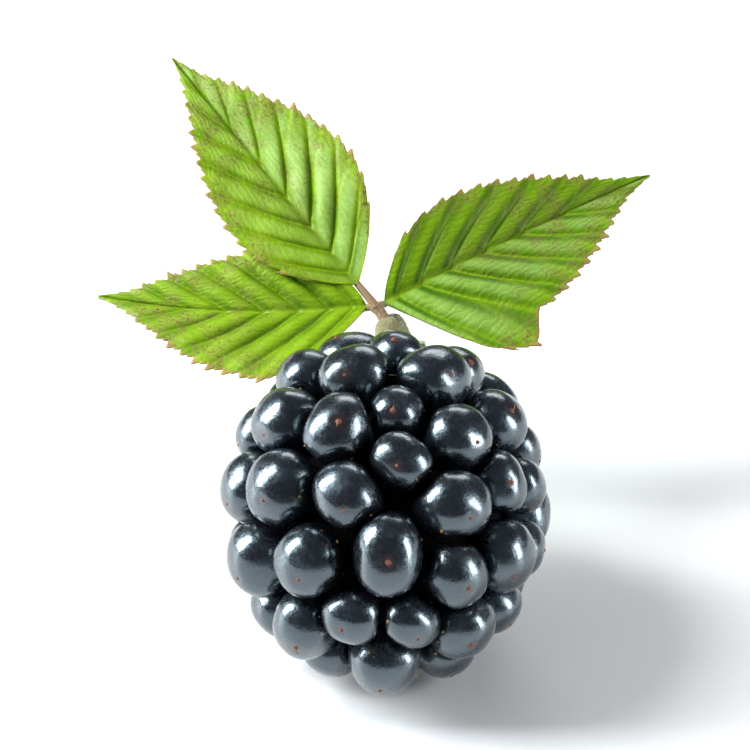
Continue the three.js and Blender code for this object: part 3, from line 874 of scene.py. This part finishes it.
def add(tree, kind, inputs=None, **settings):
    """A node with its settings, and its inputs set or linked."""
    made = tree.nodes.new(kind)
    for name, value in settings.items():
        setattr(made, name, value)
    for socket, value in (inputs or {}).items():
        if isinstance(value, bpy.types.NodeSocket):
            tree.links.new(value, made.inputs[socket])
        else:
            made.inputs[socket].default_value = value
    return made


def start_material(name, fixed):
    """A material whose shader has its even values set, and the place on the object in metres."""
    material = bpy.data.materials.new(name)
    material.use_nodes = True
    tree = material.node_tree
    shader = tree.nodes["Principled BSDF"]
    for socket, value in fixed.items():
        shader.inputs[socket].default_value = value
    place = add(tree, "ShaderNodeTexCoord").outputs["Object"]
    return material, tree, shader, place


def noise(tree, place, size, detail=3.0, roughness=0.5):
    """Noise whose lumps have about this size in millimetres."""
    inputs = {"Vector": place, "Scale": 1 / (size * MM), "Detail": detail, "Roughness": roughness}
    return add(tree, "ShaderNodeTexNoise", inputs).outputs["Fac"]


def attribute(tree, label):
    """A mesh's own values by this name."""
    return add(tree, "ShaderNodeAttribute", attribute_name=label).outputs["Fac"]


def remap(tree, value, low, high, to_low=0.0, to_high=1.0):
    """A soft step from one range to another."""
    inputs = {"Value": value, "From Min": low, "From Max": high, "To Min": to_low, "To Max": to_high}
    return add(tree, "ShaderNodeMapRange", inputs, interpolation_type="SMOOTHSTEP").outputs["Result"]


def calculate(tree, operation, first, second=0.0):
    return add(tree, "ShaderNodeMath", {0: first, 1: second}, operation=operation).outputs[0]


def multiply(tree, first, second):
    return calculate(tree, "MULTIPLY", first, second)


def blend_colours(tree, share, first, second):
    """The first colour where the share is 0, and the second where it is 1."""
    made = add(tree, "ShaderNodeMix", data_type="RGBA")
    for index, value in ((0, share), (6, first), (7, second)):
        if isinstance(value, bpy.types.NodeSocket):
            tree.links.new(value, made.inputs[index])
        else:
            made.inputs[index].default_value = value if index == 0 else (*value, 1)
    return made.outputs[2]


def bump(tree, height, depth, normal=None):
    """Relief of this depth in millimetres."""
    inputs = {"Height": height, "Distance": depth * MM, "Strength": 1.0}
    if normal is not None:
        inputs["Normal"] = normal
    return add(tree, "ShaderNodeBump", inputs).outputs["Normal"]


def berry_material():
    """Tight glossy skin, nearly black, with a thin grey-blue bloom that lies unevenly."""
    fixed = {
        "IOR": 1.6,
        "Specular IOR Level": 1.0,
        "Specular Tint": (0.68, 0.89, 1, 1),
        "Coat Weight": 0.55,
        "Coat IOR": 1.6,
        "Coat Roughness": 0.12,
    }
    material, tree, shader, place = start_material("berry_skin_black", fixed)
    patches = noise(tree, place, 1.6, 4, 0.6)
    mottle = noise(tree, place, 0.3, 3, 0.65)
    black = blend_colours(tree, attribute(tree, "tone"), (0.0015, 0.0018, 0.003), (0.004, 0.0035, 0.006))
    bloomed = blend_colours(tree, remap(tree, patches, 0.45, 0.8), black, (0.011, 0.016, 0.022))
    scarred = blend_colours(tree, multiply(tree, attribute(tree, "scar"), 0.4), bloomed, (0.05, 0.012, 0.01))
    tree.links.new(scarred, shader.inputs["Base Color"])
    grainy = remap(tree, mottle, 0.3, 0.7, 0.18, 0.31)
    rough = calculate(tree, "ADD", grainy, remap(tree, patches, 0.4, 0.8, 0, 0.12))
    tree.links.new(rough, shader.inputs["Roughness"])
    grain = bump(tree, noise(tree, place, 0.16, 3, 0.6), 0.012)
    tree.links.new(bump(tree, patches, 0.08, grain), shader.inputs["Normal"])
    return material


def core_material():
    """Near-black painted shade that the deepest gaps show."""
    fixed = {"Roughness": 0.8, "Specular IOR Level": 0.05}
    material, tree, shader, place = start_material("berry_core_painted_shade", fixed)
    # Patches in the painted shade, and a faint relief.
    shade_mottle = noise(tree, place, 1.2)
    colour = blend_colours(tree, shade_mottle, (0.0005, 0.0003, 0.0005), (0.0015, 0.0006, 0.001))
    tree.links.new(colour, shader.inputs["Base Color"])
    tree.links.new(bump(tree, shade_mottle, 0.1), shader.inputs["Normal"])
    return material


def fibre_material(name, dark, light):
    """Dry plant fibre, unevenly coloured."""
    material, tree, shader, place = start_material(name, {"Roughness": 0.55})
    mixed = blend_colours(tree, noise(tree, place, 0.15), dark, light)
    tree.links.new(mixed, shader.inputs["Base Color"])
    tree.links.new(bump(tree, noise(tree, place, 0.08), 0.01), shader.inputs["Normal"])
    return material


def leaf_greens(tree, facts, patches):
    """Yellower by the leaflets' stalks, with painted light and painted sheen on the raised pleats, and
    painted shade on shaded leaflets and beside the veins.
    """
    colour = blend_colours(tree, remap(tree, patches, 0.35, 0.7), (0.125, 0.24, 0.003), (0.23, 0.385, 0.006))
    near_stalk = multiply(tree, remap(tree, facts["along"], 0.45, 0.0), 0.6)
    colour = blend_colours(tree, near_stalk, colour, (0.32, 0.48, 0.004))
    # Painted light: the raised pleats are coloured paler, as where they catch the light.
    painted_crest_light = multiply(tree, remap(tree, facts["crest"], 0.4, 1.0), 0.45)
    colour = blend_colours(tree, painted_crest_light, colour, (0.31, 0.49, 0.02))
    # Painted sheen: whitish green on the raised pleats of the halves that the sheen values pick.
    painted_sheen = multiply(tree, facts["sheen"], remap(tree, patches, 0.3, 0.6, 0.2, 0.46))
    colour = blend_colours(tree, painted_sheen, colour, (0.38, 0.57, 0.24))
    # Painted shade: whole leaflets are coloured darker by their shade value, less so on the raised pleats.
    painted_leaflet_shade = multiply(tree, facts["shade"], remap(tree, patches, 0.3, 0.7, 0.48, 0.74))
    painted_leaflet_shade = multiply(tree, painted_leaflet_shade, remap(tree, facts["crest"], 0.6, 1.0, 1.1, 0.6))
    colour = blend_colours(tree, painted_leaflet_shade, colour, (0.075, 0.19, 0.003))
    # Painted shade: a dark band beside each side vein, darker on shaded leaflets and towards the leaflets'
    # bases.
    by_leaflet = remap(tree, facts["shade"], 0, 1, 0.15, 0.92)
    by_place = remap(tree, facts["along"], 0.4, 0.08, 0.0, 0.85)
    flanks = multiply(tree, facts["flank"], calculate(tree, "MAXIMUM", by_leaflet, by_place))
    return blend_colours(tree, flanks, colour, (0.025, 0.09, 0.001))


def leaf_rungs(tree, facts, place):
    """Waves that run out along the veins and stray a little: the small cross veins lie on their heights."""
    lane = calculate(tree, "FLOOR", multiply(tree, facts["along"], float(VEIN_PAIRS)))
    stray = multiply(tree, noise(tree, place, 0.9, 2), 14.0)
    phase = calculate(tree, "ADD", multiply(tree, lane, 2.4), stray)
    return calculate(tree, "SINE", calculate(tree, "ADD", multiply(tree, facts["run"], RUNG_TURN), phase))


def leaf_veins(tree, facts, rungs, colour):
    """Dark cross veins, painted shade in the vein furrows, and the pale line of each vein along the furrow.
    """
    rung = multiply(tree, remap(tree, rungs, 0.55, 1.0), remap(tree, facts["out"], 0.0, 0.15))
    # The cross veins' hatch is darker on leaflets that get more painted shade.
    hatched = multiply(tree, rung, remap(tree, facts["shade"], 0, 1, 0.15, 0.34))
    colour = blend_colours(tree, hatched, colour, (0.06, 0.17, 0.004))
    # Painted shade: the vein furrows and the midrib's gully are coloured darker.
    colour = blend_colours(tree, multiply(tree, facts["vein"], 0.65), colour, (0.055, 0.16, 0.002))
    line = multiply(tree, calculate(tree, "MAXIMUM", facts["line"], facts["midrib"]), 0.55)
    return blend_colours(tree, line, colour, (0.34, 0.50, 0.015))


def leaf_wear(tree, facts, place, colour):
    """Brown specks and a dull flush towards the edges and tips, and reddish teeth."""
    towards_tip = multiply(tree, remap(tree, facts["along"], 0.3, 0.8), 0.8)
    exposed = calculate(tree, "MAXIMUM", remap(tree, facts["out"], 0.55, 1.0), towards_tip)
    fine = remap(tree, noise(tree, place, 0.24, 3, 0.75), 0.53, 0.6)
    broad = remap(tree, noise(tree, place, 1.5, 3, 0.6), 0.4, 0.6)
    specks = multiply(tree, multiply(tree, fine, broad), exposed)
    colour = blend_colours(tree, multiply(tree, specks, 0.95), colour, (0.095, 0.03, 0.018))
    flush = multiply(tree, multiply(tree, broad, exposed), 0.36)
    colour = blend_colours(tree, flush, colour, (0.23, 0.19, 0.055))
    edge = remap(tree, facts["out"], 0.96, 1.0, 0.0, 0.6)
    rim = calculate(tree, "MAXIMUM", edge, remap(tree, facts["tooth"], 0.35, 0.9, 0.0, 0.7))
    return blend_colours(tree, rim, colour, (0.42, 0.18, 0.10))


def leaf_material():
    """Fresh green leaf, pale below, with a faint gloss."""
    fixed = {
        "IOR": 1.45,
        "Specular IOR Level": 0.16,
        "Specular Tint": (0.92, 1, 0.5, 1),
        "Subsurface Weight": 0.1,
        "Subsurface Scale": 0.0006,
        "Subsurface Radius": (0.4, 0.8, 0.1),
        "Coat Roughness": 0.3,
        "Coat Tint": (0.9, 1, 0.95, 1),
    }
    material, tree, shader, place = start_material("leaf_green_fresh", fixed)
    facts = {label: attribute(tree, label) for label in LEAF_FACTS}
    patches = noise(tree, place, 3.2, 3, 0.55)
    rungs = leaf_rungs(tree, facts, place)
    colour = leaf_greens(tree, facts, patches)
    colour = leaf_veins(tree, facts, rungs, colour)
    colour = leaf_wear(tree, facts, place, colour)
    pale = blend_colours(tree, multiply(tree, facts["vein"], 0.7), (0.25, 0.36, 0.13), (0.38, 0.45, 0.22))
    colour = blend_colours(tree, multiply(tree, facts["under"], 0.85), colour, pale)
    tree.links.new(colour, shader.inputs["Base Color"])
    tree.links.new(remap(tree, patches, 0.3, 0.8, 0.4, 0.52), shader.inputs["Roughness"])
    tree.links.new(remap(tree, facts["shade"], 0, 1, 0.14, 0.02), shader.inputs["Coat Weight"])
    puckers = bump(tree, rungs, -0.011)
    tree.links.new(bump(tree, noise(tree, place, 0.2, 3, 0.6), 0.03, puckers), shader.inputs["Normal"])
    return material


def downy_material(name, dark, light, cut=None):
    """Green plant skin under pale down."""
    fixed = {
        "Roughness": 0.75,
        "Sheen Weight": 0.15,
        "Sheen Roughness": 0.5,
        "Sheen Tint": (0.9, 0.95, 0.8, 1),
    }
    material, tree, shader, place = start_material(name, fixed)
    patches = noise(tree, place, 0.8, 4, 0.6)
    colour = blend_colours(tree, patches, dark, light)
    if cut:
        colour = blend_colours(tree, attribute(tree, "cut"), colour, cut)
    tree.links.new(colour, shader.inputs["Base Color"])
    tree.links.new(bump(tree, noise(tree, place, 0.16, 3), 0.04), shader.inputs["Normal"])
    return material


def floor_material():
    """Plain near-white ground."""
    material, tree, shader, place = start_material("floor_pale", {"Roughness": 0.5})
    faint = blend_colours(tree, noise(tree, place, 40.0), (0.86, 0.86, 0.865), (0.88, 0.88, 0.885))
    tree.links.new(faint, shader.inputs["Base Color"])
    return material


# Stage


def make_floor():
    """A wide level ground just under the fruit."""
    reach = FLOOR_REACH * MM
    below = -FLOOR_DROP * MM
    mesh = bpy.data.meshes.new("floor")
    corners = [(-reach, -reach, below), (reach, -reach, below), (reach, reach, below), (-reach, reach, below)]
    mesh.from_pydata(corners, [], [(0, 1, 2, 3)])
    mesh.materials.append(floor_material())
    floor = bpy.data.objects.new("floor", mesh)
    bpy.context.scene.collection.objects.link(floor)


def make_light(name, place, size, power, colour):
    """A window that faces the berry."""
    light = bpy.data.lights.new(name, "AREA")
    light.shape = "RECTANGLE"
    light.size, light.size_y = size[0] * MM, size[1] * MM
    light.energy = power
    light.color = colour
    lamp = bpy.data.objects.new(name, light)
    lamp.location = Vector(place) * MM
    direction = Vector(LIGHT_TARGET) * MM - lamp.location
    lamp.rotation_euler = direction.to_track_quat("-Z", "Y").to_euler()
    bpy.context.scene.collection.objects.link(lamp)


def make_lights():
    """Windows at the left, weaker at the right and faint behind, and the room's own light."""
    make_light("window_left", (-588, 70, 383), (290, 620), 13.5, (0.94, 0.975, 1))
    make_light("window_right", (650, -165, 180), (210, 560), 5.2, (0.95, 0.98, 1))
    make_light("window_back", (140, 770, 600), (620, 300), 2.4, (1, 1, 1))
    world = bpy.data.worlds.new("room")
    world.use_nodes = True
    background = world.node_tree.nodes["Background"]
    background.inputs["Color"].default_value = ROOM_COLOUR
    background.inputs["Strength"].default_value = ROOM_STRENGTH
    bpy.context.scene.world = world
    bpy.context.scene.view_settings.view_transform = "Standard"


def make_camera(low, high):
    """A camera that looks down on the middle of the box from the fruit's tip."""
    camera = bpy.data.cameras.new("camera")
    camera.lens = CAMERA_LENS
    camera.clip_start, camera.clip_end = 0.01, 10
    eye = bpy.data.objects.new("camera", camera)
    back = Vector((0, -math.cos(CAMERA_ELEVATION), math.sin(CAMERA_ELEVATION)))
    centre = (low + high) / 2
    eye.location = centre + back * CAMERA_DISTANCE * MM
    eye.rotation_euler = (-back).to_track_quat("-Z", "Y").to_euler()
    bpy.context.scene.collection.objects.link(eye)
    bpy.context.scene.camera = eye


calyx_plane = fruit.end_ring + GAP
stalk_foot = calyx_plane + SEPAL_LIFT + CALYX_CROWN + GAP
joint = fruit.place(np.array(STALK_ROUTE[ROUTE_JOINT]) + [0, stalk_foot, 0])

make_drupelets(berry_material())
make_core(core_material())
make_scars(fibre_material("scar_brown", (0.07, 0.02, 0.01), (0.26, 0.09, 0.045)))
make_styles(fibre_material("style_brown", (0.16, 0.06, 0.02), (0.42, 0.22, 0.09)))
make_specks(fibre_material("speck_tan", (0.20, 0.09, 0.02), (0.50, 0.30, 0.10)))
calyx_down = downy_material("calyx_down", (0.17, 0.22, 0.08), (0.42, 0.46, 0.28))
stalk_down = downy_material("stalk_down", (0.12, 0.16, 0.035), (0.27, 0.19, 0.10), (0.50, 0.45, 0.24))
leaf_stalk_down = downy_material("leaf_stalk_down", (0.15, 0.17, 0.04), (0.34, 0.15, 0.10))
hair = fibre_material("hair_white", (0.55, 0.56, 0.42), (0.70, 0.70, 0.58))
stamen_brown = fibre_material("stamen_brown", (0.12, 0.06, 0.025), (0.36, 0.22, 0.10))
make_calyx(calyx_down, hair, stamen_brown, calyx_plane)
make_stalk(stalk_down, hair, stalk_foot)
make_leaf(leaf_material(), leaf_stalk_down, hair, joint)
make_floor()
make_lights()
make_camera(*cad_box)
